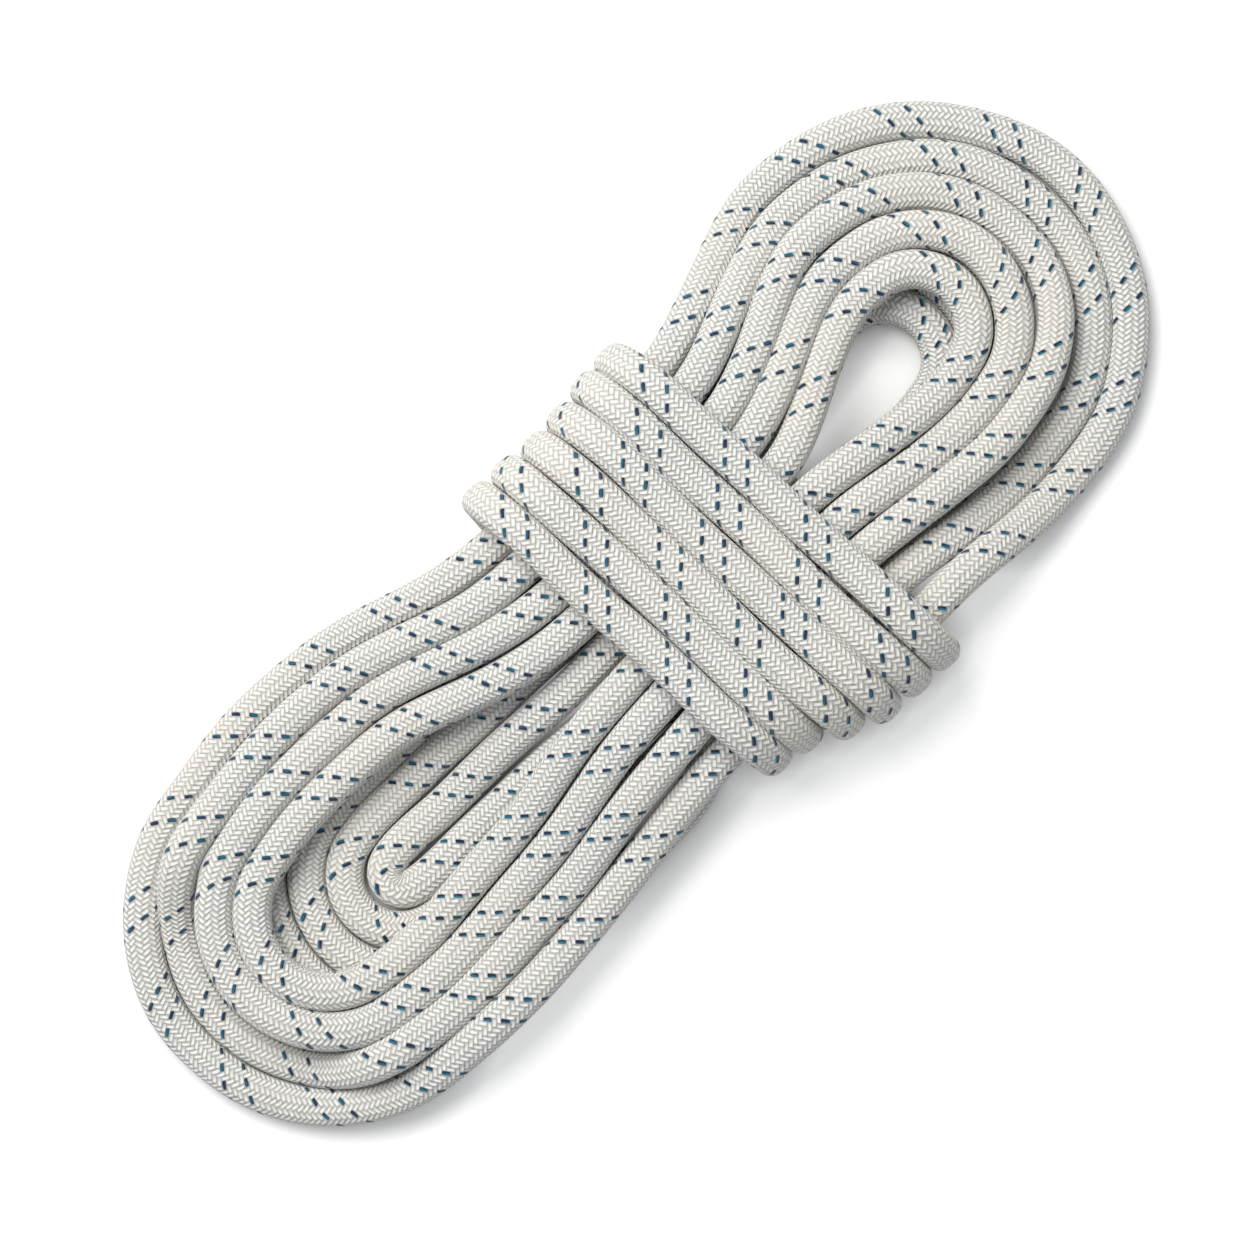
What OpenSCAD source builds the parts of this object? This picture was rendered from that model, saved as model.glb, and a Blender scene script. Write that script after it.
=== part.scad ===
// Climbing rope, hanked and bound at the waist by its own last turns.
// +X runs along the hank towards the lobe with the open eye, +Z is up, and the
// hank lies on the plane z = 0 with the middle of its box over the origin.
// One rope makes everything: a two-layer hank, six binding turns and two ends.

/* [Rope] */
// Diameter of the rope
rope_d = 10.5; // [8:0.1:11]
// Wall of the woven sheath
sheath_wall = 1.4; // [1.2:0.1:2]
// Core cords laid round the middle one
core_ring_count = 6; // [5:1:7]
// Air between two neighbouring lengths of rope
rope_gap = 0.5; // [0.5:0.1:1.5]

/* [Hank] */
// Middle of the upper bends of the eyed lobe, along X
eye_bend_x = 118; // [112:0.1:126]
// Middle of the upper bends of the closed lobe, along X
closed_bend_x = -126; // [-130:0.1:-118]
// Middle of the lower bends of the eyed lobe, along X
eye_bend_low_x = 106; // [98:0.5:115]
// Middle of the lower bends of the closed lobe, along X
closed_bend_low_x = -104; // [-115:0.5:-98]
// Half the free width inside the upper bends of the eyed lobe
eye_half = 15; // [11:0.5:19]
// Half the free width inside the upper bends of the closed lobe
closed_half = 15; // [11:0.5:19]
// Half the free width inside the lower bends of the eyed lobe
eye_low_half = 8; // [7:0.5:10]
// Half the free width inside the lower bends of the closed lobe
closed_low_half = 3; // [3:0.5:7]
// Step from loop to loop along the sides of a lobe
side_step = 11.5; // [11.5:0.1:12.6]
// Step from loop to loop at the tip of a lobe
tip_step = 11.9; // [11.9:0.1:13.5]
// Sideways shift of the upper loops in the eyed lobe
eye_shift = 6.5; // [4:0.1:9]
// Sideways shift of the lower loops in the eyed lobe
eye_low_shift = 3.6; // [2:0.1:6]
// Sideways shift of the upper loops in the closed lobe
closed_shift = 6.4; // [4:0.1:9]
// Sideways shift of the lower loops in the closed lobe
closed_low_shift = 3.2; // [2:0.1:6]

/* [Binding] */
// Number of binding turns
turn_count = 6; // [4:1:7]
// Step from turn to turn along X
turn_step = 11.3; // [11.3:0.1:12]
// Extra width of the waist where it meets the eyed lobe, as a share
waist_flare = 0.08; // [0.04:0.01:0.1]
// Extra width of the waist where it meets the closed lobe, as a share
closed_flare = 0.05; // [0.04:0.01:0.1]

/* [Ends] */
// Length of the end that lies inside the binding
gripped_end_l = 22; // [14:1:30]
// Length of the end that lies under the hank
tucked_end_l = 28; // [14:1:36]
// Length of the fused tip of an end
seal_l = 3; // [2:0.5:5]

/* [Hidden] */

rope_color = "#E4DFD2";
core_color = "#F4F2EC";
seal_color = "#B9B0A0";

rope_r = rope_d / 2;
// Middle of the whole box, which is moved over the origin
middle = [-1.1, 1, 0];
// Centre to centre of two lengths side by side
pitch = rope_d + rope_gap;
// Rope lying on the ground is cut flat a tenth of its diameter deep
ground_z = 0.4 * rope_d;
// Height from a lower loop to the upper loop over it
layer_rise = pitch + 0.6;
// The waist stands on the under runs of the binding
waist_rise = pitch;

// The hank is one spiral: outside in on the lower layer, up a layer along the +Y
// run at its middle, and inside out on the upper layer. A loop is counted from the
// middle of the -Y run and has 24 rings: seven steps to a bend and five to a run.
rings_per_loop = 24;
bend_steps = 7;
run_steps = 5;
bend_turn = 180 / bend_steps;
loop_count = 8;
climb_at = 3.5;
sides = 6;

// Stations of a run along X between the two bends, the same for every loop
run_x = [-80, -22, 20, 60];
// Where the waist ends and where the lobes begin, along X
waist_x = [run_x[1], run_x[3]];
lobe_x = [run_x[0], eye_bend_low_x];

// How far the outer upper loops settle beside the pile instead of on it:
// [loop count, share of the layer's rise], straight between the points
settle = [[5.62, 1], [5.75, 0.3], [5.88, 1], [6.15, 1], [6.18, 0.1], [6.25, 0], [6.32, 0.1],
          [6.35, 1], [6.57, 1], [6.6, 0.45], [6.64, 0], [6.9, 0], [6.94, 0.5], [7.02, 0.5],
          [7.06, 1], [7.1, 1], [7.15, 0.3], [7.19, 0], [7.44, 0], [7.48, 0.5], [7.56, 0.5],
          [7.6, 0]];

// The free length from the lower outer loop to where the binding starts
crossover_route = [[-47, -46], [-39, -46], [-32, -46], [-26, -45], [-21, -43],
                   [-17, -40], [-14, -36], [-12, -31], [-11, -25]];
binding_start = [-11, 0];
crossover_sides = 8;

function blend(a, b, s) = a + (b - a) * s;
function ramp(a, b, v) = let (s = max(0, min(1, (v - a) / (b - a)))) s * s * (3 - 2 * s);

// 0 on the lower layer and 1 on the upper one
function layer(t) = ramp(climb_at - 0.1, climb_at + 0.1, t);
// Loops out from the middle of the spiral
function turns_out(t) = abs(t - climb_at);
function settled(t) = lookup(t, settle);

// Share of the waist's own width and height at a place along X
function waist(x) = ramp(lobe_x[0], waist_x[0], x) * (1 - ramp(waist_x[1], lobe_x[1], x));
function lift(x) = ramp(run_x[0], run_x[1], x) * (1 - ramp(waist_x[1], lobe_x[1], x));
function flare(x) =
    lookup(x, [[run_x[1], 1 + closed_flare], [run_x[2], 1], [run_x[3], 1 + waist_flare]]);

function closed_x(t) = blend(closed_bend_low_x, closed_bend_x, layer(t));
function eye_x(t) = blend(eye_bend_low_x, eye_bend_x, layer(t));
function closed_r(t) = (t < climb_at ? closed_low_half : closed_half) + turns_out(t) * side_step;
function eye_r(t) = (t < climb_at ? eye_low_half : eye_half) + turns_out(t) * side_step;
function reach(t) = turns_out(t) * (tip_step - side_step);
function shift(t, x) =
    x < 0 ? blend(closed_low_shift, closed_shift, layer(t))
    : blend(eye_low_shift, eye_shift, layer(t));
function height(t, x) =
    ground_z + lift(x) * waist_rise + layer(t) * settled(t) * layer_rise;

// One ring's centre on a run, at station s from the closed lobe to the eyed one
function run_point(t, s, side) =
    let (x = concat([closed_x(t)], run_x, [eye_x(t)])[s],
         r = x < 0 ? closed_r(t) : eye_r(t),
         y_lobe = shift(t, x) + side * r,
         y_waist = side * (turns_out(t) + 0.25) * pitch * flare(x))
    [x, blend(y_lobe, y_waist, waist(x)), height(t, x)];

// One ring's centre on a bend: a is the angle of the outward direction
function bend_point(t, a, x, r) =
    [x + (r + reach(t)) * cos(a), shift(t, x) + r * sin(a), height(t, x)];

// The centre of ring k, counted from the eyed end of the first -Y run
function hank_centre(k) =
    let (t = (k - run_steps / 2) / rings_per_loop,
         u = k % rings_per_loop,
         half = rings_per_loop / 2)
    u <= run_steps ? run_point(t, run_steps - u, -1)
    : u < half ? bend_point(t, 270 - (u - run_steps) * bend_turn, closed_x(t), closed_r(t))
    : u <= half + run_steps ? run_point(t, u - half, 1)
    : bend_point(t, 90 - (u - half - run_steps) * bend_turn, eye_x(t), eye_r(t));

// Both ends of the hank run straight for one diameter, square to what they meet
gripped_y = -(turns_out(loop_count) + 0.25) * pitch * (1 + waist_flare);
gripped_z = ground_z + waist_rise + 0.5 * layer_rise;
gripped_x = 60;
hank_start = [for (i = [0, 1])
    [crossover_route[0][0] - i * rope_d, crossover_route[0][1], ground_z]];
hank_finish = [for (i = [1, 0]) [gripped_x + i * rope_d, gripped_y, gripped_z]];
// The first ring after the start is a run's last station but one
first_ring = run_steps - 1;
hank_line = concat(hank_start,
                   [for (k = [first_ring:loop_count * rings_per_loop]) hank_centre(k)],
                   hank_finish);

// The binding: a long flat turn with round sides, advancing by one step a turn, and
// wider on the -Y side from the turns that grip the end of the rope
side_r = (waist_rise * 2 + layer_rise) / 2;
binding_z = ground_z + side_r;
grip_run = 40;
grip_x = gripped_x - gripped_end_l;
function half_far(x) = (4 + 0.35) * pitch * flare(x) + pitch;
function half_near(x) =
    blend((3.5 + 0.35) * pitch * flare(x) + pitch, pitch - gripped_y,
          ramp(grip_x - grip_run, grip_x, x));

// One ring of a turn, q from 0 to 24, from the middle under the hank towards +Y
function turn_point(q, x) =
    q <= 2 ? [x, (half_far(x) - side_r) * q / 2, ground_z]
    : q <= 10 ? let (a = -90 + (q - 2) * 22.5)
        [x, half_far(x) - side_r + side_r * cos(a), binding_z + side_r * sin(a)]
    : q <= 14 ? [x, blend(half_far(x) - side_r, side_r - half_near(x), (q - 10) / 4),
                 binding_z + side_r]
    : q <= 22 ? let (a = 90 + (q - 14) * 22.5)
        [x, side_r - half_near(x) + side_r * cos(a), binding_z + side_r * sin(a)]
    : [x, (side_r - half_near(x)) * (24 - q) / 2, ground_z];

binding_line = [for (k = [0:turn_count * rings_per_loop])
    turn_point(k % rings_per_loop, binding_start[0] + turn_step * k / rings_per_loop)];

// A tube with flat ends swept along its ring centres, cut flat at the ground. One of
// its n sides faces the ground where the tube lies on it
function direction(line, i) =
    let (d = line[min(i + 1, len(line) - 1)] - line[max(i - 1, 0)]) d / norm(d);
function ring(line, i, up, n, turn) =
    let (d = direction(line, i),
         c = cross(d, up),
         across = c / norm(c),
         over = cross(across, d))
    [for (j = [0:n - 1])
        let (a = 360 * j / n + turn,
             v = line[i] + rope_r * (cos(a) * across + sin(a) * over))
        [v[0], v[1], max(0, v[2])]];

module swept_rope(line, up, n, turn) {
    rings = len(line);
    vertices = [for (i = [0:rings - 1]) each ring(line, i, up, n, turn)];
    walls = [for (i = [0:rings - 2], j = [0:n - 1])
        let (a = i * n + j, b = i * n + (j + 1) % n)
        each [[a, b, b + n], [a, b + n, a + n]]];
    first = [for (j = [1:n - 2]) [0, j + 1, j]];
    last = [for (j = [1:n - 2]) [0, j, j + 1] + (rings - 1) * n * [1, 1, 1]];
    polyhedron(vertices, concat(walls, first, last));
}

// Least gap of a line of rope to itself, on points a few millimetres apart, leaving
// out what lies within four diameters along the rope
function point_to_step(p, a, b) =
    let (d = b - a, s = max(0, min(1, (p - a) * d / (d * d)))) norm(p - a - s * d);
function walked(line) = [for (i = 0, l = 0; i < len(line);
    l = i + 1 < len(line) ? l + norm(line[i + 1] - line[i]) : l, i = i + 1) l];
function least_gap(line) =
    let (l = walked(line), apart = 4 * rope_d, parts = 5)
    min([for (i = [0:len(line) - 2], m = [0:parts - 1], j = [0:len(line) - 2])
        let (s = m / parts,
             here = blend(l[i], l[i + 1], s))
        if (l[j] > here + apart || l[j + 1] < here - apart)
            point_to_step(blend(line[i], line[i + 1], s), line[j], line[j + 1])]) - rope_d;
echo(least_gap_of_hank_loops = least_gap(hank_line));
echo(least_gap_of_binding_turns = least_gap(binding_line));

module hank_loops() {
    color(rope_color) swept_rope(hank_line, [0, 0, 1], sides, 0);
}

module binding_turns() {
    color(rope_color) swept_rope(binding_line, [-1, 0, 0], sides, 180 / sides);
}

// The crossover runs into the binding along the first turn's own direction
module crossover() {
    last = binding_line[0];
    line = concat([for (p = crossover_route) [p[0], p[1], ground_z]],
                  [last - rope_d * direction(binding_line, 0), last]);
    color(rope_color) swept_rope(line, [0, 0, 1], crossover_sides, 180 / crossover_sides);
}

// A rope end along +Z from its joint with the rope: sheath, core cords, fused tip
bore_r = rope_r - sheath_wall;
cord_gap = 0.1;
middle_cord_r = bore_r - 2 * ring_cord_r() - 2 * cord_gap;
function ring_cord_r() =
    (bore_r - cord_gap) / (1 + 1 / sin(180 / core_ring_count)) - cord_gap / 2;

module end_sheath(length) {
    difference() {
        cylinder(r = rope_r, h = length - seal_l, $fn = 48);
        translate([0, 0, -1]) cylinder(r = bore_r, h = length - seal_l + 2, $fn = 48);
    }
}

module end_core_cords(length) {
    cylinder(r = middle_cord_r, h = length - seal_l, $fn = 24);
    for (i = [0:core_ring_count - 1])
        rotate(i * 360 / core_ring_count)
            translate([bore_r - cord_gap - ring_cord_r(), 0, 0])
                cylinder(r = ring_cord_r(), h = length - seal_l, $fn = 24);
}

// The fused tip is a short plug with a rounded rim
module end_seal(length) {
    rim = min(seal_l, rope_r) * 0.6;
    translate([0, 0, length - seal_l])
        rotate_extrude($fn = 48)
            union() {
                square([rope_r - rim, seal_l]);
                square([rope_r, seal_l - rim]);
                intersection() {
                    translate([rope_r - rim, seal_l - rim]) circle(r = rim, $fn = 32);
                    square([rope_r, seal_l]);
                }
            }
}

// The end gripped by the binding points along -X
module at_gripped_end() {
    translate([gripped_x, gripped_y, gripped_z]) rotate([0, -90, 0]) children();
}

// The end tucked under the hank goes on along the last turn, cut flat at the ground
module at_tucked_end() {
    start = binding_line[len(binding_line) - 1];
    way = direction(binding_line, len(binding_line) - 1);
    difference() {
        translate(start) rotate([-90, 0, -atan2(way[0], way[1])]) children();
        translate([start[0] - rope_d, start[1] - rope_d, -2 * rope_d])
            cube([3 * rope_d, tucked_end_l + 2 * rope_d, 2 * rope_d]);
    }
}

module gripped_end_sheath() { color(rope_color) at_gripped_end() end_sheath(gripped_end_l); }
module gripped_end_core_cords() {
    color(core_color) at_gripped_end() end_core_cords(gripped_end_l);
}
module gripped_end_seal() { color(seal_color) at_gripped_end() end_seal(gripped_end_l); }
module tucked_end_sheath() { color(rope_color) at_tucked_end() end_sheath(tucked_end_l); }
module tucked_end_core_cords() {
    color(core_color) at_tucked_end() end_core_cords(tucked_end_l);
}
module tucked_end_seal() { color(seal_color) at_tucked_end() end_seal(tucked_end_l); }

module centred() { translate(-middle) children(); }

centred() hank_loops();
centred() crossover();
centred() binding_turns();
centred() gripped_end_sheath();
centred() gripped_end_core_cords();
centred() gripped_end_seal();
centred() tucked_end_sheath();
centred() tucked_end_core_cords();
centred() tucked_end_seal();
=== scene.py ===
"""Looks of a climbing rope in a bound hank: one long braided tube along the rope's own centre
line, cut into pieces under the binding, with a woven sheath drawn by its material.

Lengths are in millimetres, as in part.scad, and MM turns them into metres. Those of the camera,
the floor and the lamp are in metres. +X runs along the hank towards the open eye, +Z is up, and
the hank lies on z = 0.
"""

import math

import bpy
import numpy as np
from mathutils import Matrix, Vector


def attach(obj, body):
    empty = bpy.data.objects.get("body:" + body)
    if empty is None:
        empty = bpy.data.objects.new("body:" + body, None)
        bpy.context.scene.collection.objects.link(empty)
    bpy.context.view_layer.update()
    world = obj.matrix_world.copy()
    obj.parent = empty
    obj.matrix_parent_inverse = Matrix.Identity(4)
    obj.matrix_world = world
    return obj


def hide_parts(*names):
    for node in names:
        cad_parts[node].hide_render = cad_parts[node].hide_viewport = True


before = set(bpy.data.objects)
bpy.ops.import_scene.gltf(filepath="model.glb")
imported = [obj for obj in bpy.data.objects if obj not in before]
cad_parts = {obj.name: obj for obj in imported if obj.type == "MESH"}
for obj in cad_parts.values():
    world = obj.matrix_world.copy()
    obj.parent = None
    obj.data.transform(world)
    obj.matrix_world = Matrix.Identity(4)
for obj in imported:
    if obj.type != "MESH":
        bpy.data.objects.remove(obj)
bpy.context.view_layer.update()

MM = 0.001

# ---------------------------------------------------------------- the rope's sizes, in mm
# Down to the crossover's route these are the values of part.scad, under the same names
ROPE_D = 10.5
ROPE_R = ROPE_D / 2
# Centre to centre of two lengths side by side
PITCH = ROPE_D + 0.5
# Rope lying on the ground is pressed a tenth of its diameter deep
GROUND_Z = 0.4 * ROPE_D
# From a lower loop up to the upper loop over it, and from the ground up to the waist
LAYER_RISE = PITCH + 0.6
WAIST_RISE = PITCH

# Each lobe's innermost bend on the upper and on the lower layer: its place along X, half its
# width, and its shift along Y. A step is the way from loop to loop, at the sides and the tips
EYE_BEND_X, EYE_BEND_LOW_X = 118, 106
CLOSED_BEND_X, CLOSED_BEND_LOW_X = -126, -104
EYE_HALF, CLOSED_HALF = 15, 15
EYE_LOW_HALF, CLOSED_LOW_HALF = 8, 3
SIDE_STEP, TIP_STEP = 11.5, 11.9
EYE_SHIFT, EYE_LOW_SHIFT = 6.5, 3.6
CLOSED_SHIFT, CLOSED_LOW_SHIFT = 6.4, 3.2
# Middle of the whole box, which is moved over the origin
MIDDLE = [-1.1, 1, 0]
# How much wider the waist is at the eyed lobe and at the closed one
WAIST_FLARE, CLOSED_FLARE = 0.08, 0.05

TURN_COUNT = 6
TURN_STEP = 11.3
# Where the binding lets the gripped end into the hank, and the lengths of the ends and tips
GRIPPED_X, GRIPPED_END_L, TUCKED_END_L = 60, 22, 28
SEAL_L = 3

# A loop is counted from the middle of its -Y run, with seven steps to a bend and five to a run
RINGS_PER_LOOP = 24
BEND_STEPS = 7
RUN_STEPS = 5
LOOP_COUNT = 8
# The loop at which the rope climbs a layer, and half the length of the climb, in loops
CLIMB_AT, CLIMB_HALF = 3.5, 0.1
# Stations of a run along X, and where the waist ends and the lobes begin
RUN_X = [-80, -22, 20, 60]
WAIST_X = [RUN_X[1], RUN_X[3]]
LOBE_X = [RUN_X[0], EYE_BEND_LOW_X]
# How far the outer upper loops settle beside the pile: [loop count, share of the layer's rise]
SETTLE = [[5.62, 1], [5.75, 0.3], [5.88, 1], [6.15, 1], [6.18, 0.1], [6.25, 0], [6.32, 0.1],
          [6.35, 1], [6.57, 1], [6.6, 0.45], [6.64, 0], [6.9, 0], [6.94, 0.5], [7.02, 0.5],
          [7.06, 1], [7.1, 1], [7.15, 0.3], [7.19, 0], [7.44, 0], [7.48, 0.5], [7.56, 0.5],
          [7.6, 0]]
# The free length from the lower outer loop to where the binding starts, as [x, y]
CROSSOVER_ROUTE = [[-47, -46], [-39, -46], [-32, -46], [-26, -45], [-21, -43],
                   [-17, -40], [-14, -36], [-12, -31], [-11, -25]]

# Where the first turn starts under the hank
BINDING_START_X = -11
# Rings of a binding turn: each half run under the hank, each bend, and the run over it
HALF_RUN, TURN_BEND, TOP_RUN = 2, 8, 4
RINGS_PER_TURN = 2 * HALF_RUN + 2 * TURN_BEND + TOP_RUN
# On the waist the innermost length lies off the middle line, and the binding leaves some room
# beside the outermost: both are shares of the pitch
INNERMOST, ROOM = 0.25, 0.35
# The ring of each loop where the binding covers it and the rope is cut into pieces
CUT_RING = 2
# The hank's last ring before the crossover, on the -Y run of the lower outer loop
FIRST_RING = RUN_STEPS - 1

# The lie of the rope wanders a little, in waves: [length, swing to the side, swing in height]
WANDER = [[83, 0.25, 0.25], [47, 0.15, 0.12], [210, 0.3, 0.3]]
# The swings in height are out of step with those to the side, by these angles in radians
RISE_START, RISE_STEP = 0.8, 2.1
# Over this length next to each end the waves are flat, and over the next one they grow
WANDER_FADE = 40
# Times each point is drawn towards its neighbours, which rounds the corners of the route
ROUNDING_PASSES = 8


# ---------------------------------------------------------------- the rope's centre line
def blend(a, b, s):
    return a + (b - a) * s


def ramp(a, b, v):
    """0 before a, 1 after b, and smooth between them."""
    s = min(1, max(0, (v - a) / (b - a)))
    return s * s * (3 - 2 * s)


def lookup(v, table):
    """The table's second column at v in its first, straight between its rows."""
    return float(np.interp(v, *zip(*table)))


def layer(t):
    """0 on the lower layer and 1 on the upper one, for a place t counted in loops."""
    return ramp(CLIMB_AT - CLIMB_HALF, CLIMB_AT + CLIMB_HALF, t)


def turns_out(t):
    """Loops out from the middle of the spiral."""
    return abs(t - CLIMB_AT)


def waist(x):
    """1 along the waist and 0 at the ends of the lobes."""
    return ramp(LOBE_X[0], WAIST_X[0], x) * (1 - ramp(WAIST_X[1], LOBE_X[1], x))


def lift(x):
    """Share of the waist's rise, which the lobes lose on their way down to the ground."""
    return ramp(RUN_X[0], RUN_X[1], x) * (1 - ramp(WAIST_X[1], LOBE_X[1], x))


def flare(x):
    """The waist's width as a share of its narrowest."""
    return lookup(x, [[RUN_X[1], 1 + CLOSED_FLARE], [RUN_X[2], 1], [RUN_X[3], 1 + WAIST_FLARE]])


def closed_x(t):
    """Where the closed lobe's bends are centred along X, and below where the eyed lobe's are."""
    return blend(CLOSED_BEND_LOW_X, CLOSED_BEND_X, layer(t))


def eye_x(t):
    return blend(EYE_BEND_LOW_X, EYE_BEND_X, layer(t))


def closed_r(t):
    """Half the width of a loop in the closed lobe, and below in the eyed one."""
    return (CLOSED_LOW_HALF if t < CLIMB_AT else CLOSED_HALF) + turns_out(t) * SIDE_STEP


def eye_r(t):
    return (EYE_LOW_HALF if t < CLIMB_AT else EYE_HALF) + turns_out(t) * SIDE_STEP


def shift(t, x):
    """How far a loop's middle line lies towards +Y."""
    if x < 0:
        return blend(CLOSED_LOW_SHIFT, CLOSED_SHIFT, layer(t))
    return blend(EYE_LOW_SHIFT, EYE_SHIFT, layer(t))


def height(t, x):
    """Height of the rope's centre over the ground."""
    return GROUND_Z + lift(x) * WAIST_RISE + layer(t) * lookup(t, SETTLE) * LAYER_RISE


def run_point(t, station, side):
    """A ring's centre on a run, at a station from the closed lobe to the eyed one."""
    x = ([closed_x(t)] + RUN_X + [eye_x(t)])[station]
    r = closed_r(t) if x < 0 else eye_r(t)
    y_lobe = shift(t, x) + side * r
    y_waist = side * (turns_out(t) + INNERMOST) * PITCH * flare(x)
    return [x, blend(y_lobe, y_waist, waist(x)), height(t, x)]


def bend_point(t, step, side, x, radius):
    """A ring's centre on a bend, a number of steps after the run on one side. The bend is an
    arc from that run's radius to the next run's, so that it is nowhere tighter than it must."""
    t_from = t - step / RINGS_PER_LOOP
    r_from, r_to = radius(t_from), radius(t_from + BEND_STEPS / RINGS_PER_LOOP)
    r = (r_from + r_to) / 2
    middle = side * (r_from - r_to) / 2
    turned = math.pi * step / BEND_STEPS
    reach = turns_out(t) * (TIP_STEP - SIDE_STEP)
    return [x + side * (r + reach) * math.sin(turned),
            shift(t, x) + middle + side * r * math.cos(turned), height(t, x)]


def hank_centre(k):
    """The centre of ring k, counted from the eyed end of the first -Y run."""
    t = (k - RUN_STEPS / 2) / RINGS_PER_LOOP
    u = k % RINGS_PER_LOOP
    half = RINGS_PER_LOOP // 2
    if u <= RUN_STEPS:
        return run_point(t, RUN_STEPS - u, -1)
    if u < half:
        return bend_point(t, u - RUN_STEPS, -1, closed_x(t), closed_r)
    if u <= half + RUN_STEPS:
        return run_point(t, u - half, 1)
    return bend_point(t, u - half - RUN_STEPS, 1, eye_x(t), eye_r)


# The gripped end lies outside the -Y runs, at half the height of a layer
GRIPPED_Y = -(turns_out(LOOP_COUNT) + INNERMOST) * PITCH * (1 + WAIST_FLARE)
GRIPPED_Z = GROUND_Z + WAIST_RISE + 0.5 * LAYER_RISE
# Radius of the binding's bends, and the height that they are centred on
SIDE_R = (WAIST_RISE * 2 + LAYER_RISE) / 2
BINDING_Z = GROUND_Z + SIDE_R
# Where the gripped end's tip is, and the length in which the binding widens to take it in
GRIP_X = GRIPPED_X - GRIPPED_END_L
GRIP_RUN = 40


def half_far(x):
    """How far the binding reaches from the middle line on the +Y side."""
    return (turns_out(LOOP_COUNT - 0.5) + ROOM) * PITCH * flare(x) + PITCH


def half_near(x):
    """How far the binding reaches on the -Y side, where it also grips the rope's end."""
    free = (turns_out(LOOP_COUNT - 1) + ROOM) * PITCH * flare(x) + PITCH
    return blend(free, PITCH - GRIPPED_Y, ramp(GRIP_X - GRIP_RUN, GRIP_X, x))


def turn_point(q, x):
    """A ring's centre on a binding turn, q rings after the middle under the hank."""
    far, near = half_far(x) - SIDE_R, SIDE_R - half_near(x)
    over_from = HALF_RUN + TURN_BEND
    over_to = over_from + TOP_RUN
    if q <= HALF_RUN:
        return [x, far * q / HALF_RUN, GROUND_Z]
    if q <= over_from:
        turned = math.radians(-90 + (q - HALF_RUN) * 180 / TURN_BEND)
        return [x, far + SIDE_R * math.cos(turned), BINDING_Z + SIDE_R * math.sin(turned)]
    if q <= over_to:
        return [x, blend(far, near, (q - over_from) / TOP_RUN), BINDING_Z + SIDE_R]
    if q <= over_to + TURN_BEND:
        turned = math.radians(90 + (q - over_to) * 180 / TURN_BEND)
        return [x, near + SIDE_R * math.cos(turned), BINDING_Z + SIDE_R * math.sin(turned)]
    return [x, near * (RINGS_PER_TURN - q) / HALF_RUN, GROUND_Z]


def on_from(a, b, distance):
    """The point a distance beyond b on the line from a through b."""
    a, b = np.array(a, float), np.array(b, float)
    return list(b + (b - a) / np.linalg.norm(b - a) * distance)


def rope_route():
    """Ring centres of the whole rope from the gripped tip to the tucked tip, and the place of
    each cut in that list, by the name of the piece that ends there."""
    route = [[GRIP_X, GRIPPED_Y, GRIPPED_Z],
             [GRIPPED_X, GRIPPED_Y, GRIPPED_Z],
             [GRIPPED_X + ROPE_D, GRIPPED_Y, GRIPPED_Z]]
    cuts = []
    for k in range(LOOP_COUNT * RINGS_PER_LOOP, FIRST_RING - 1, -1):
        route.append(hank_centre(k))
        # Each loop is cut on its -Y run, where the binding covers it
        if k % RINGS_PER_LOOP == CUT_RING:
            cuts.append((f"loop_{k // RINGS_PER_LOOP + 1}", len(route) - 1))
    start_x, start_y = CROSSOVER_ROUTE[0]
    route.append([start_x - ROPE_D, start_y, GROUND_Z])
    route.append([start_x, start_y, GROUND_Z])
    cuts.append(("loop_1", len(route) - 1))
    turns = [turn_point(k % RINGS_PER_TURN, BINDING_START_X + TURN_STEP * k / RINGS_PER_TURN)
             for k in range(TURN_COUNT * RINGS_PER_TURN + 1)]
    route += [[x, y, GROUND_Z] for x, y in CROSSOVER_ROUTE[1:]]
    route.append(on_from(turns[1], turns[0], ROPE_D))
    route.append(turns[0])
    cuts.append(("crossover_length", len(route) - 1))
    for k, centre in enumerate(turns[1:], 1):
        route.append(centre)
        if k % RINGS_PER_TURN == 0 and k < len(turns) - 1:
            cuts.append((f"turn_{k // RINGS_PER_TURN}", len(route) - 1))
    route.append(on_from(turns[-2], turns[-1], TUCKED_END_L))
    cuts.append((f"turn_{TURN_COUNT}", len(route) - 1))
    return np.array(route, float) - MIDDLE, cuts


def smooth_line(route, step):
    """Points along a smooth curve through the route, and each route point's place in them."""
    gaps = np.linalg.norm(np.diff(route, axis=0), axis=1)
    slopes = np.diff(route, axis=0) / gaps[:, None]
    before, after = gaps[:-1, None], gaps[1:, None]
    inner = (slopes[:-1] * after + slopes[1:] * before) / (before + after)
    tangents = np.vstack([slopes[:1], inner, slopes[-1:]])
    points, places = [], []
    for i, gap in enumerate(gaps):
        places.append(len(points))
        count = max(2, round(gap / step))
        for s in np.arange(count) / count:
            points.append((2 * s**3 - 3 * s**2 + 1) * route[i]
                          + (s**3 - 2 * s**2 + s) * gap * tangents[i]
                          + (3 * s**2 - 2 * s**3) * route[i + 1]
                          + (s**3 - s**2) * gap * tangents[i + 1])
    places.append(len(points))
    points.append(route[-1])
    line = np.array(points)
    for _ in range(ROUNDING_PASSES):
        line[1:-1] = (line[:-2] + 2 * line[1:-1] + line[2:]) / 4
    return line, places


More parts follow.
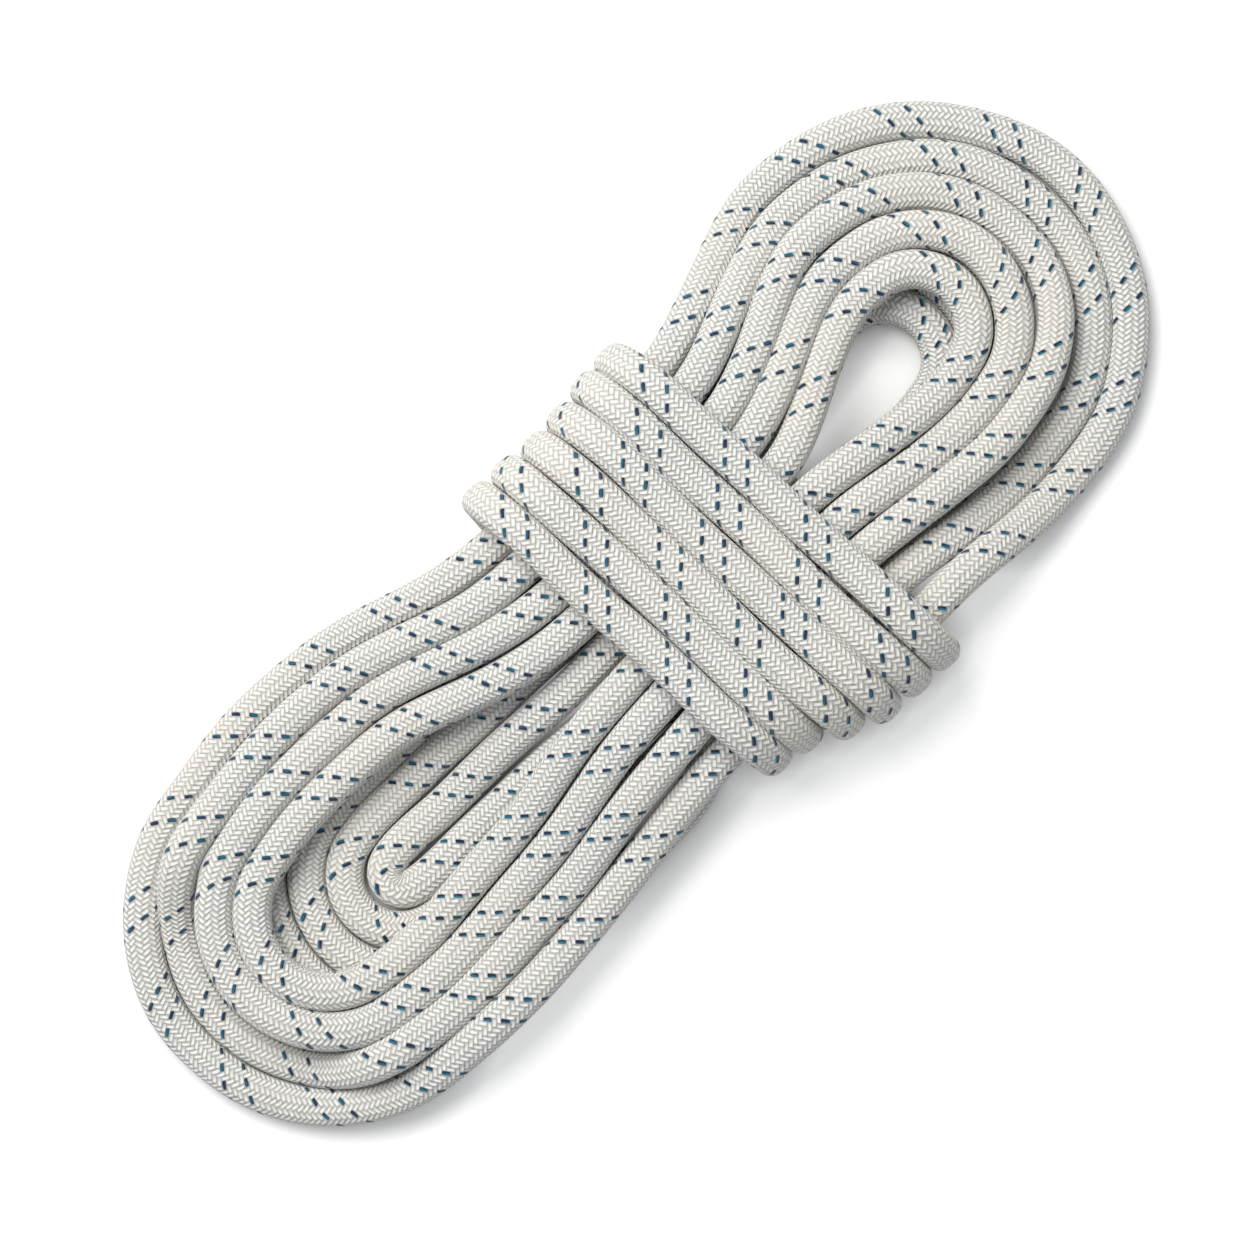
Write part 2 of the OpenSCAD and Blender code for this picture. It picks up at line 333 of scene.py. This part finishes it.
def carried_frames(line):
    """Two unit vectors across the line at each point, carried along it without twist."""
    along = np.gradient(line, axis=0)
    along /= np.linalg.norm(along, axis=1)[:, None]
    across = np.empty_like(line)
    across[0] = np.cross(along[0], [0, 0, 1])
    for i in range(1, len(line)):
        carried = across[i - 1] - along[i] * np.dot(across[i - 1], along[i])
        across[i] = carried / np.linalg.norm(carried)
    return across, np.cross(across, along)


def distances(line):
    """How far along the line each point is."""
    return np.concatenate([[0], np.cumsum(np.linalg.norm(np.diff(line, axis=0), axis=1))])


def wandering(line):
    """The line with small swings to the side and in height, which die out at both ends."""
    across, over = carried_frames(line)
    distance = distances(line)
    aside, height = np.zeros_like(distance), np.zeros_like(distance)
    for i, (wavelength, swing, rise) in enumerate(WANDER):
        turned = 2 * math.pi * distance / wavelength
        aside += swing * np.sin(turned + i)
        height += rise * np.sin(turned + RISE_STEP * i + RISE_START)
    fade = np.clip(np.minimum(distance, distance[-1] - distance) / WANDER_FADE - 1, 0, 1)
    return line + (fade * aside)[:, None] * across + (fade * height)[:, None] * over


# ---------------------------------------------------------------- node helpers
class Nodes:
    """Builds the node tree of a material or a world with one call for each node."""

    def __init__(self, owner):
        self.owner = owner
        owner.use_nodes = True
        self.tree = owner.node_tree
        self.tree.nodes.clear()

    def add(self, kind, inputs=None, **settings):
        node = self.tree.nodes.new(kind)
        for key, value in settings.items():
            setattr(node, key, value)
        for key, value in (inputs or {}).items():
            self.put(node.inputs[key], value)
        return node

    def put(self, socket, value):
        if isinstance(value, bpy.types.NodeSocket):
            self.tree.links.new(value, socket)
        else:
            socket.default_value = value

    def output(self, kind, shader):
        """Ends the tree in its output node, and returns the material or world."""
        self.put(self.add(kind).inputs["Surface"], shader.outputs[0])
        return self.owner

    def math(self, operation, a, b=0.0, c=0.0):
        node = self.add("ShaderNodeMath", {0: a, 1: b, 2: c}, operation=operation)
        return node.outputs[0]

    def choose(self, factor, a, b):
        """The number a where the factor is 0, and b where it is 1."""
        return self.add("ShaderNodeMix", {0: factor, 2: a, 3: b}).outputs[0]

    def mix(self, factor, a, b):
        """The colour a where the factor is 0, and b where it is 1."""
        node = self.add("ShaderNodeMix", data_type="RGBA")
        self.put(node.inputs["Factor"], factor)
        self.put(node.inputs[6], a)
        self.put(node.inputs[7], b)
        return node.outputs[2]

    def noise(self, vector, scale, detail=2.0):
        node = self.add("ShaderNodeTexNoise", {"Vector": vector, "Scale": scale, "Detail": detail})
        return node.outputs["Fac"]

    def spread(self, value, low, high, to_low=0.0, to_high=1.0):
        """Maps low..high to to_low..to_high, and holds the ends."""
        node = self.add("ShaderNodeMapRange", {"Value": value, "From Min": low, "From Max": high,
                                               "To Min": to_low, "To Max": to_high})
        return node.outputs["Result"]


# ---------------------------------------------------------------- materials
# Strands in each direction, the length in which one goes round the rope once, and which of the
# right-hand strands are tracers
STRANDS = 18
BRAID_PITCH = 3.0 * ROPE_D
TRACERS = [0, 5]
# A tracer shows as a dash a little narrower than its strand and as long as its float: its width
# as a share of the strand's, and half its length in crossings
DASH_WIDTH, DASH_HALF_LENGTH = 0.92, 1.02
IVORY = (0.94, 0.94, 0.92, 1)
# Painted shade: each float is ivory on its crown and turns to this grey towards its edges and ends
IVORY_PAINTED_SHADE = (0.50, 0.50, 0.485, 1)
# Painted shade in the creases where floats meet
PAINTED_CREASE_SHADE = (0.26, 0.25, 0.23, 1)
STRAND_TINT = (0.70, 0.69, 0.66, 1)
FLOAT_TINT = (0.58, 0.575, 0.56, 1)
STREAK_TINT = (0.56, 0.55, 0.52, 1)
SOIL_TINT = (0.84, 0.76, 0.63, 1)
NAVY = (0.006, 0.010, 0.045, 1)
TEAL = (0.010, 0.13, 0.21, 1)
FUSED, SCORCHED = (0.56, 0.51, 0.41, 1), (0.20, 0.14, 0.09, 1)
# The core yarn's painted shade in the grooves of its twist, and its white
YARN_PAINTED_SHADE, YARN = (0.74, 0.73, 0.70, 1), (0.88, 0.87, 0.84, 1)
# How fine each unevenness is, in waves to the metre
BEND_SCALE, SOIL_SCALE = 330.0, 22.0
LUMP_SCALE, SCORCH_SCALE = 420.0, 160.0
BAND_SCALE, FIBRE_SCALE = 260.0, 1500.0


def make_sheath():
    """A two-over, two-under braid with two dark tracers, and with painted shade on each float's
    sides and in the creases between floats, drawn on the "braid" map: u goes once round the rope,
    and v counts pitches along it."""
    n = Nodes(bpy.data.materials.new("woven sheath"))
    place = n.add("ShaderNodeUVMap", uv_map="braid").outputs["UV"]
    split = n.add("ShaderNodeSeparateXYZ", {"Vector": place})
    u, v = split.outputs["X"], split.outputs["Y"]

    # No strand lies quite straight: each edge wanders by up to a tenth of a strand
    where = n.add("ShaderNodeTexCoord").outputs["Object"]
    bend = n.spread(n.noise(where, BEND_SCALE), 0.3, 0.7, -0.1, 0.1)
    right = n.math("MULTIPLY_ADD", n.math("SUBTRACT", u, v), STRANDS, bend)
    left = n.math("MULTIPLY_ADD", n.math("ADD", u, v), STRANDS, bend)
    right_no, left_no = n.math("FLOOR", right), n.math("FLOOR", left)
    right_in, left_in = n.math("FRACT", right), n.math("FRACT", left)
    # The pattern repeats after four crossings: two with the right-hand strand on top, then two
    # with the left-hand one
    phase = n.math("FLOORED_MODULO", n.math("ADD", right_no, left_no), 4)
    right_top = n.math("LESS_THAN", phase, 1.5)

    # Across the strand on top, and along its float of two crossings, both from 0 to 1
    right_along = n.math("DIVIDE", n.math("ADD", phase, left_in), 2)
    left_along = n.math("DIVIDE", n.math("ADD", n.math("SUBTRACT", phase, 2), right_in), 2)
    across = n.choose(right_top, left_in, right_in)
    along = n.choose(right_top, left_along, right_along)

    def arch(x, power):
        """1 in the middle of 0..1 and 0 at both ends."""
        off = n.math("ABSOLUTE", n.math("MULTIPLY_ADD", x, 2, -1))
        return n.math("SUBTRACT", 1, n.math("POWER", off, power))

    crown = n.math("MULTIPLY", arch(across, 1.8), arch(along, 2.0))

    # Yarn streaks along each strand, and a tint for each strand and each float
    ply = n.math("SINE", n.math("MULTIPLY", across, 6 * math.pi))
    streak_at = n.add("ShaderNodeCombineXYZ", {"X": n.math("MULTIPLY", across, 5),
                                               "Y": n.math("MULTIPLY", along, 1.2),
                                               "Z": n.math("ADD", right_no, left_no)})
    streak = n.noise(streak_at.outputs[0], 3.0)
    turn_no = n.math("FLOORED_MODULO", right_no, STRANDS)
    strand_no = n.choose(right_top, n.math("ADD", left_no, 0.37), turn_no)
    strand_tint = n.add("ShaderNodeTexWhiteNoise", {"W": strand_no},
                        noise_dimensions="1D").outputs["Value"]
    float_at = n.add("ShaderNodeCombineXYZ", {"X": right_no, "Y": left_no})
    float_tint = n.add("ShaderNodeTexWhiteNoise", {"Vector": float_at.outputs[0]}).outputs["Value"]

    # Tracers: two of the right-hand strands
    is_tracer = 0.0
    for number in TRACERS:
        match = n.math("COMPARE", turn_no, number, 0.4)
        is_tracer = n.math("MAXIMUM", match, is_tracer)
    off_across = n.math("ABSOLUTE", n.math("MULTIPLY_ADD", right_in, 2, -1))
    in_period = n.math("FLOORED_MODULO", n.math("ADD", n.math("ADD", phase, left_in), 1), 4)
    off_along = n.math("ABSOLUTE", n.math("SUBTRACT", in_period, 2))
    off = n.math("ADD", n.math("POWER", n.math("DIVIDE", off_across, DASH_WIDTH), 4),
                 n.math("POWER", n.math("DIVIDE", off_along, DASH_HALF_LENGTH), 5))
    dark = n.math("MULTIPLY", is_tracer,
                  n.spread(n.math("ADD", off, n.math("MULTIPLY", streak, 0.3)), 0.8, 1.2, 1, 0))

    soil = n.noise(where, SOIL_SCALE, 3.0)
    # Painted shade: each float is pale on its crown and painted darker towards its edges and ends,
    # where its round surface turns from the light
    light = n.mix(n.spread(crown, 0.05, 0.6), IVORY_PAINTED_SHADE, IVORY)
    # Painted shade: a dark crease is painted where floats meet, at each float's edges and ends
    light = n.mix(n.spread(crown, 0.0, 0.2, 0.85, 0), light, PAINTED_CREASE_SHADE)
    # What varies, between which values, the most that it adds of a colour, and the colour
    for value, low, high, most, tint in [(strand_tint, 0, 1, 0.12, STRAND_TINT),
                                         (float_tint, 0, 1, 0.30, FLOAT_TINT),
                                         (streak, 0.3, 0.7, 0.20, STREAK_TINT),
                                         (soil, 0.42, 0.66, 0.24, SOIL_TINT)]:
        light = n.mix(n.spread(value, low, high, 0, most), light, tint)
    # A tracer is plied from a navy yarn and a teal one, which take turns on top
    float_no = n.math("ADD", n.math("MULTIPLY", left_no, 0.31), right_no)
    ply_at = n.math("SINE", n.math("MULTIPLY", float_no, 2.4))
    teal_side = n.math("ADD", n.math("ADD", across, n.math("MULTIPLY", streak, 0.5)),
                       n.math("MULTIPLY", ply_at, 0.22))
    blue = n.mix(n.spread(teal_side, 0.62, 0.95), NAVY, TEAL)
    colour = n.mix(dark, light, blue)

    relief = n.math("ADD", crown, n.math("MULTIPLY", n.math("MULTIPLY", ply, crown), 0.06))
    relief = n.math("ADD", relief, n.math("MULTIPLY", streak, 0.12))
    bump = n.add("ShaderNodeBump", {"Height": relief, "Strength": 0.85, "Distance": 0.55 * MM})
    shader = n.add("ShaderNodeBsdfPrincipled", {
        "Base Color": colour, "Normal": bump.outputs[0],
        "Roughness": n.spread(streak, 0.2, 0.8, 0.62, 0.78),
        "Sheen Weight": 0.25, "Sheen Roughness": 0.45, "Specular IOR Level": 0.35})
    return n.output("ShaderNodeOutputMaterial", shader)


def make_fused_tip():
    """Melted nylon: smooth, a little lumpy, with scorched patches."""
    n = Nodes(bpy.data.materials.new("fused tip"))
    where = n.add("ShaderNodeTexCoord").outputs["Object"]
    lumps, scorch = n.noise(where, LUMP_SCALE, 3.0), n.noise(where, SCORCH_SCALE, 4.0)
    colour = n.mix(n.spread(scorch, 0.4, 0.65), FUSED, SCORCHED)
    bump = n.add("ShaderNodeBump", {"Height": lumps, "Strength": 0.5, "Distance": 0.5 * MM})
    shader = n.add("ShaderNodeBsdfPrincipled", {
        "Base Color": colour, "Normal": bump.outputs[0],
        "Roughness": n.spread(scorch, 0.3, 0.7, 0.28, 0.5), "Specular IOR Level": 0.5})
    return n.output("ShaderNodeOutputMaterial", shader)


def make_core_yarn():
    """White twisted yarns: slanted bands round each cord, with fine fibres, and painted shade in
    the grooves between the bands.
    """
    n = Nodes(bpy.data.materials.new("core yarn"))
    where = n.add("ShaderNodeTexCoord").outputs["Object"]
    bands = n.add("ShaderNodeTexWave", {"Vector": where, "Scale": BAND_SCALE, "Distortion": 1.5,
                                        "Detail": 2.0}, bands_direction="DIAGONAL")
    fibres = n.noise(where, FIBRE_SCALE, 2.0)
    twist = bands.outputs["Fac"]
    # Painted shade: the colour darkens where the bands' height is low, in the grooves of the twist
    colour = n.mix(twist, YARN_PAINTED_SHADE, YARN)
    height = n.math("ADD", twist, n.math("MULTIPLY", fibres, 0.4))
    bump = n.add("ShaderNodeBump", {"Height": height, "Strength": 0.6, "Distance": 0.3 * MM})
    shader = n.add("ShaderNodeBsdfPrincipled", {
        "Base Color": colour, "Normal": bump.outputs[0],
        "Roughness": n.spread(fibres, 0.3, 0.7, 0.7, 0.85), "Sheen Weight": 0.2})
    return n.output("ShaderNodeOutputMaterial", shader)


# ---------------------------------------------------------------- the rope's pieces
# Points round the rope's section, and the way from one section to the next
SIDES = 40
STEP = 1.6
TIP_SIDES = 48
# A fused tip's outline: height along the tip and radius, from inside the sheath to its end
TIP_OUTLINE = [(-1.2, 4.9), (-0.5, 5.28), (0.1, 5.36), (0.8, 5.30), (1.6, 5.12), (2.3, 4.55),
               (2.75, 3.7), (2.95, 2.6), (3.0, 1.3)]
# Its lumps: waves round the tip, their slant along it, and their height as a share of the radius
TIP_LUMPS = [(3, 1, 0.018), (7, -2, 0.012)]
# Bare margins of the "OFBake" map, along a strip and at its two edges, and its spot for the ends
BAKE_END_MARGIN = 0.01
BAKE_LOW_MARGIN, BAKE_SPAN = 0.02, 0.94
BAKE_END_SPOT = (0.001, 0.001)
# Lengths that press on each other are a little wider than they are high, and more so in the
# lobes, where they lie loose and spread: [x in mm, width as a share of the round rope's]
HANK_WIDTH = [[-110, 1.10], [-40, 1.04], [50, 1.04], [110, 1.10]]
BINDING_WIDTH = 1.07
FLATTER = 0.96
SQUARENESS = 2.5


def pressed_section(line, across, over, width, sideways):
    """The rope's skin round each point of the line. Its section is a rounded square, since the
    rope is pressed by its neighbours in the sideways direction."""
    angles = np.arange(SIDES) * 2 * math.pi / SIDES
    outward = (np.cos(angles)[None, :, None] * across[:, None]
               + np.sin(angles)[None, :, None] * over[:, None])
    upright = np.cross(sideways, np.cross(across, over))
    c = np.einsum("ijk,ik->ij", outward, sideways)
    s = np.einsum("ijk,ik->ij", outward, upright)
    full = ROPE_R * (np.abs(c) ** SQUARENESS + np.abs(s) ** SQUARENESS) ** (-1 / SQUARENESS)
    return (line[:, None] + (full * c * width[:, None])[:, :, None] * sideways[:, None]
            + (full * s * FLATTER)[:, :, None] * upright[:, None])


def closed_tube(name, vertices, sides, material):
    """A smooth tube through rings of so many vertices, in mm, with a cap at both ends."""
    rings = len(vertices) // sides
    faces = [(i * sides + j, i * sides + (j + 1) % sides,
              (i + 1) * sides + (j + 1) % sides, (i + 1) * sides + j)
             for i in range(rings - 1) for j in range(sides)]
    first = tuple(range(sides))[::-1]
    last = tuple((rings - 1) * sides + j for j in range(sides))
    mesh = bpy.data.meshes.new(name)
    mesh.from_pydata((np.array(vertices) * MM).tolist(), [], faces + [first, last])
    mesh.polygons.foreach_set("use_smooth", [True] * len(mesh.polygons))
    mesh.materials.append(material)
    piece = bpy.data.objects.new(name, mesh)
    bpy.context.collection.objects.link(piece)
    return piece


def sheath_length(name, skin, distance, material):
    """A length of the rope. Its "braid" map follows the rope, and its "OFBake" map lays the skin
    out as level strips, one above another. Its two caps are flat."""
    piece = closed_tube(name, skin.reshape(-1, 3), SIDES, material)
    mesh = piece.data
    for cap in (-2, -1):
        mesh.polygons[cap].use_smooth = False

    length = distance[-1] - distance[0]
    strips = max(1, round(math.sqrt(length / (2 * math.pi * ROPE_R))))
    braid, bake = [], []
    for i in range(len(skin) - 1):
        v0, v1 = distance[i] / BRAID_PITCH, distance[i + 1] / BRAID_PITCH
        s0 = (distance[i] - distance[0]) / length * strips
        s1 = (distance[i + 1] - distance[0]) / length * strips
        strip = min(strips - 1, int((s0 + s1) / 2))
        for j in range(SIDES):
            u0, u1 = 1 - j / SIDES, 1 - (j + 1) / SIDES
            braid += [(u0, v0), (u1, v0), (u1, v1), (u0, v1)]
            for u, s in [(u0, s0), (u1, s0), (u1, s1), (u0, s1)]:
                level = BAKE_END_MARGIN + (1 - 2 * BAKE_END_MARGIN) * min(1, max(0, s - strip))
                bake.append((level, (strip + BAKE_LOW_MARGIN + BAKE_SPAN * u) / strips))
    for at in (0, -1):
        braid += [(0.5, distance[at] / BRAID_PITCH)] * SIDES
        bake += [BAKE_END_SPOT] * SIDES
    for layer_name, places in (("braid", braid), ("OFBake", bake)):
        mesh.uv_layers.new(name=layer_name).data.foreach_set("uv", np.array(places).ravel())
    return piece


def melted_tip(name, base, way, material):
    """A fused tip: a lumpy plug that swells a little over the sheath's cut edge."""
    way = np.array(way) / np.linalg.norm(way)
    across = np.cross(way, [0, 0, 1])
    over = np.cross(across, way)
    vertices = []
    for h, r in TIP_OUTLINE:
        for j in range(TIP_SIDES):
            a = 2 * math.pi * j / TIP_SIDES
            lump = 1 + sum(size * math.sin(waves * a + slant * h)
                           for waves, slant, size in TIP_LUMPS)
            p = base + way * h + r * lump * (math.cos(a) * across + math.sin(a) * over)
            vertices.append([p[0], p[1], max(0, p[2])])
    return closed_tube(name, vertices, TIP_SIDES, material)


# ---------------------------------------------------------------- camera
# The photo looks down on the hank from close to straight above, and shows it slantwise: the
# hank's own X runs to the photo's upper right
PHOTO_CENTRE = Vector((-3.8, 3.8, 15.0)) * MM
PHOTO_WIDTH = 0.370
PHOTO_TOP = Vector((0.714, 0.700, 0))
TILT = math.radians(5)
DISTANCE = 0.88
SENSOR_MM = 36
camera_data = bpy.data.cameras.new("camera")
camera_data.sensor_width = SENSOR_MM
camera_data.lens = SENSOR_MM * DISTANCE / PHOTO_WIDTH
camera = bpy.data.objects.new("camera", camera_data)
bpy.context.collection.objects.link(camera)
back = Vector((0, -math.sin(TILT), math.cos(TILT)))
right = PHOTO_TOP.cross(back).normalized()
upward = back.cross(right)
turned = Matrix((right, upward, back)).transposed().to_4x4()
camera.matrix_world = Matrix.Translation(PHOTO_CENTRE + back * DISTANCE) @ turned
bpy.context.scene.camera = camera

# ---------------------------------------------------------------- the rope
sheath, fused, yarn = make_sheath(), make_fused_tip(), make_core_yarn()
route, cuts = rope_route()
line, places = smooth_line(route, STEP)
line = wandering(line)
across, over = carried_frames(line)
distance = distances(line)
width = np.interp(line[:, 0], *zip(*HANK_WIDTH))
hank_end, binding_from = (places[dict(cuts)[name]] for name in ("loop_1", "crossover_length"))
width[hank_end:] = BINDING_WIDTH
along = np.cross(across, over)
# Neighbours press on the hank's lengths in the level plane, and on the binding's along X
sideways = np.cross(along, [0, 0, 1])
sideways[binding_from:] = [1, 0, 0]
sideways -= along * np.sum(sideways * along, axis=1)[:, None]
sideways /= np.linalg.norm(sideways, axis=1)[:, None]
skin = pressed_section(line, across, over, width, sideways)
# The ground presses it flat
skin[:, :, 2] = np.maximum(skin[:, :, 2], 0)

STANDS_FOR = {"loop": ["hank_loops"], "crossover": ["crossover"], "turn": ["binding_turns"]}
begin = int(np.searchsorted(distance, SEAL_L))
finish_at = int(np.searchsorted(distance, distance[-1] - SEAL_L)) - 1
start = begin
for name, route_place in cuts:
    end = min(places[route_place], finish_at)
    part = slice(start, end + 1)
    piece = sheath_length(name, skin[part], distance[part], sheath)
    nodes = list(STANDS_FOR[name.split("_")[0]])
    if start == begin:
        nodes.append("gripped_end_sheath")
    if end == finish_at:
        nodes.append("tucked_end_sheath")
    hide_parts(*nodes)
    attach(piece, "root")
    start = end

for name, base, way in [("gripped_tip", line[begin], line[0] - line[begin]),
                        ("tucked_tip", line[finish_at], line[-1] - line[finish_at])]:
    tip = melted_tip(name, base, way, fused)
    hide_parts(name.split("_")[0] + "_end_seal")
    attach(tip, "root")
for node in ("gripped_end_core_cords", "tucked_end_core_cords"):
    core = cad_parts[node]
    for holder in core.material_slots:
        holder.material = yarn

# ---------------------------------------------------------------- floor and light
# The floor ends where the lamp still makes it white, and the world behind it is white too
FLOOR_R = 0.60
FLOOR_SIDES = 64
FLOOR_DROP = 0.0002
FLOOR_GREY = (0.80, 0.80, 0.80, 1)
WHITE = (1, 1, 1, 1)
# What the backdrop adds to the floor where it is looked at, and how wide a gap it fades in
FLOOR_GLOW = 0.46
GAP_REACH = 0.012
SKY_COLOUR, SKY_STRENGTH = (0.93, 0.97, 1.0, 1), 0.37
# One lamp on the hank's +Y side, the photo's upper left, leaves the lower right side in shade
LAMP_PLACE = Vector((0.08, 0.7, 1.1))
LAMP_SIZE, LAMP_WATTS, LAMP_COLOUR = 0.9, 18, (1.0, 0.985, 0.955)


def seen(n):
    """1 where the backdrop is looked at, directly or in a reflection, and 0 where it lights."""
    path = n.add("ShaderNodeLightPath").outputs
    return n.math("MAXIMUM", path["Is Camera Ray"],
                  n.math("MAXIMUM", path["Is Glossy Ray"], path["Is Transmission Ray"]))


floor_mesh = bpy.data.meshes.new("floor")
rim = [2 * math.pi * i / FLOOR_SIDES for i in range(FLOOR_SIDES)]
floor_mesh.from_pydata([(FLOOR_R * math.cos(a), FLOOR_R * math.sin(a), 0) for a in rim],
                       [], [tuple(range(FLOOR_SIDES))])
floor = bpy.data.objects.new("floor", floor_mesh)
floor.location.z = -FLOOR_DROP
bpy.context.collection.objects.link(floor)
n = Nodes(bpy.data.materials.new("floor"))
plain = n.add("ShaderNodeBsdfDiffuse", {"Color": FLOOR_GREY})
# The added white fades in the narrow gaps between the rope's lengths, which stay dark
openness = n.add("ShaderNodeAmbientOcclusion", {"Distance": GAP_REACH}, samples=8).outputs["AO"]
glow = n.math("MULTIPLY", n.math("MULTIPLY", seen(n), FLOOR_GLOW), n.math("POWER", openness, 2))
shine = n.add("ShaderNodeEmission", {"Color": WHITE, "Strength": glow})
both = n.add("ShaderNodeAddShader", {0: plain.outputs[0], 1: shine.outputs[0]})
floor_mesh.materials.append(n.output("ShaderNodeOutputMaterial", both))

n = Nodes(bpy.data.worlds.new("world"))
lighting = n.add("ShaderNodeBackground", {"Color": SKY_COLOUR, "Strength": SKY_STRENGTH})
white = n.add("ShaderNodeBackground", {"Color": WHITE, "Strength": 1.0})
sky = n.add("ShaderNodeMixShader", {0: seen(n), 1: lighting.outputs[0], 2: white.outputs[0]})
bpy.context.scene.world = n.output("ShaderNodeOutputWorld", sky)

lamp_data = bpy.data.lights.new("key", "AREA")
lamp_data.size = LAMP_SIZE
lamp_data.energy = LAMP_WATTS
lamp_data.color = LAMP_COLOUR
lamp = bpy.data.objects.new("key", lamp_data)
lamp.location = LAMP_PLACE
lamp.rotation_mode = "QUATERNION"
lamp.rotation_quaternion = (-LAMP_PLACE).to_track_quat("-Z", "Y")
lamp.visible_camera = False
bpy.context.collection.objects.link(lamp)

bpy.context.scene.view_settings.view_transform = "Standard"
